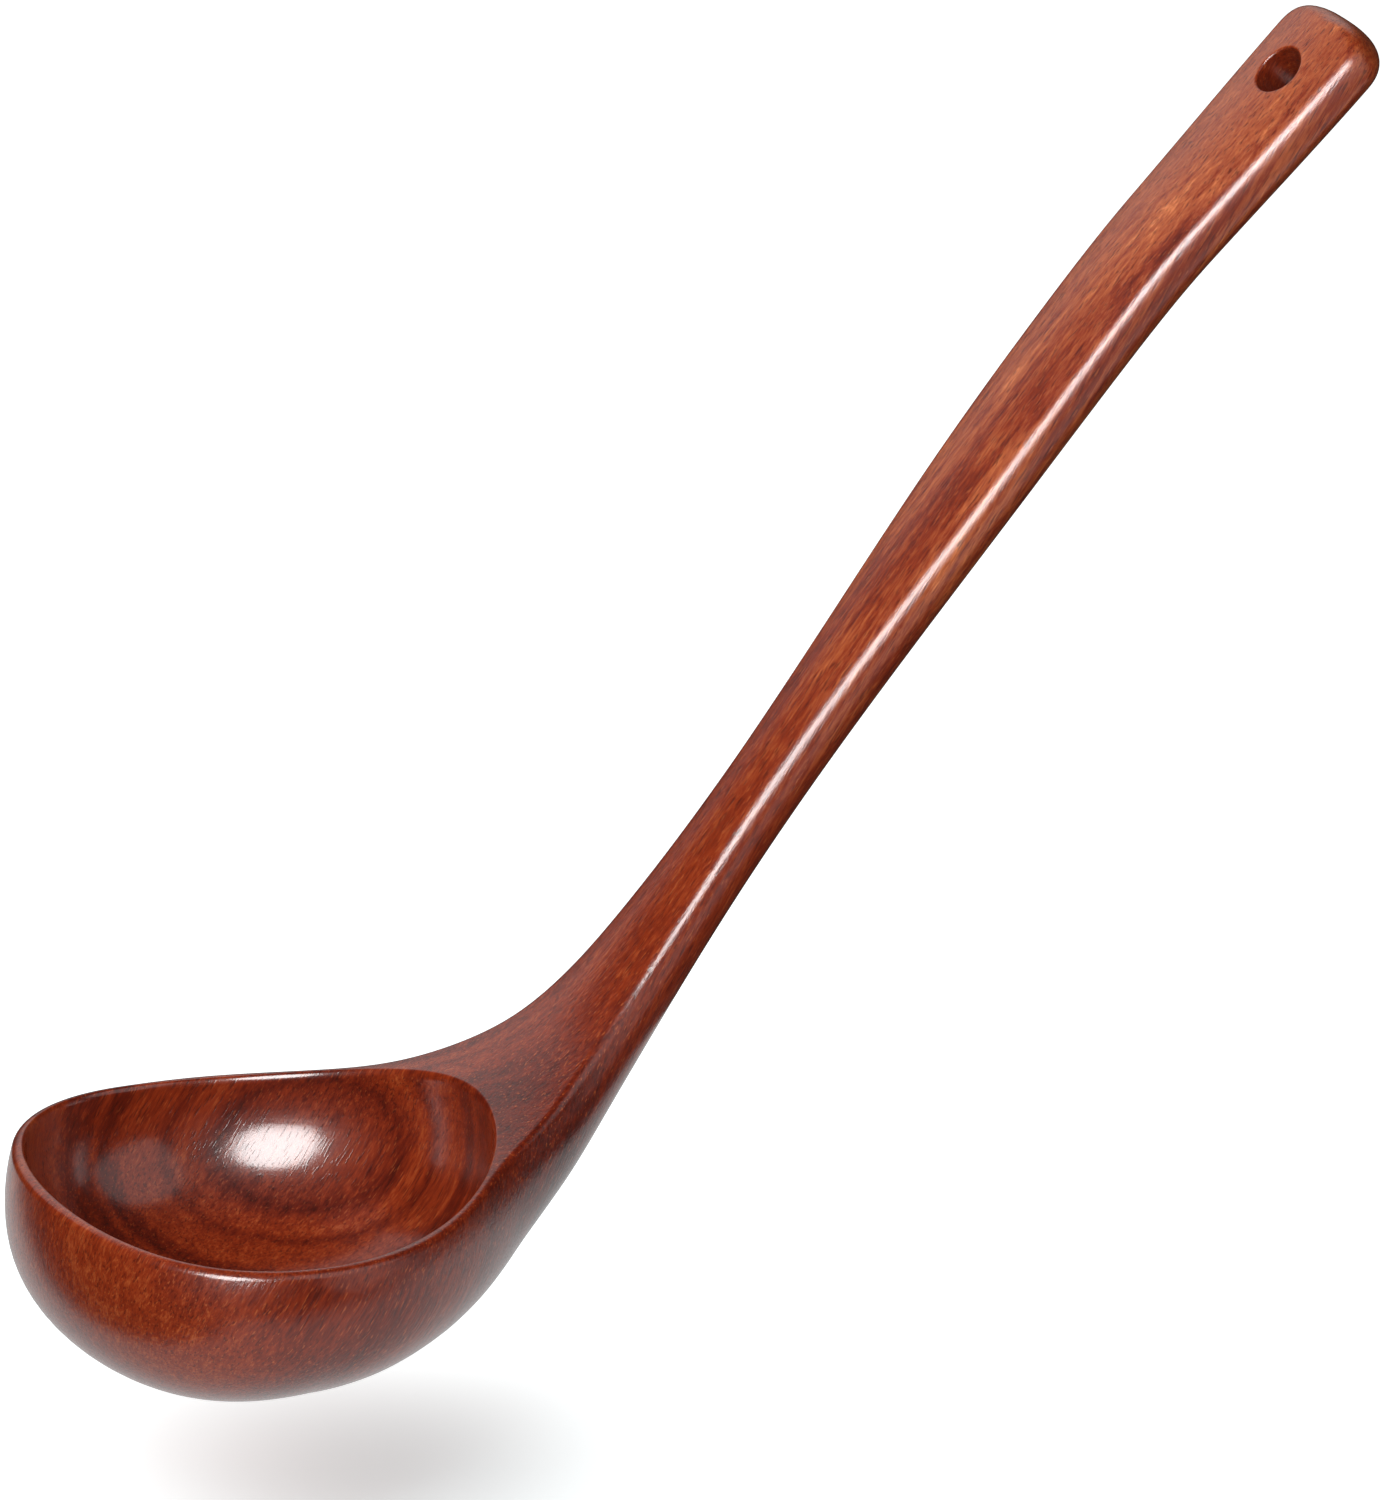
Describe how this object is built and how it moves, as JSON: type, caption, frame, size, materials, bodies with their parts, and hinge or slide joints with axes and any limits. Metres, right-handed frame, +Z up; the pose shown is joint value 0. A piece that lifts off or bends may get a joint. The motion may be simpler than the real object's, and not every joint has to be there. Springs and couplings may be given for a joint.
{
  "type": "wooden soup ladle",
  "caption": "Hardwood soup ladle with a deep egg-shaped bowl, a neck sweeping up into a slim crowned handle, and a rounded end drilled for hanging",
  "frame": {"origin": "middle of the footprint, level with the underside of the bowl", "axes": "+X runs from the tip of the bowl towards the handle end, +Z is up with the bowl's rim level, and the ladle is symmetrical about the plane Y = 0"},
  "size_m": [0.2486, 0.0842, 0.2019],
  "materials": {
    "wood": "clear satin lacquer over dark red-brown hardwood with fine open pores"
  },
  "bodies": {
    "root": {"bowl": "wood", "neck": "wood", "handle": "wood", "hanging_end": "wood"}
  },
  "joints": []
}
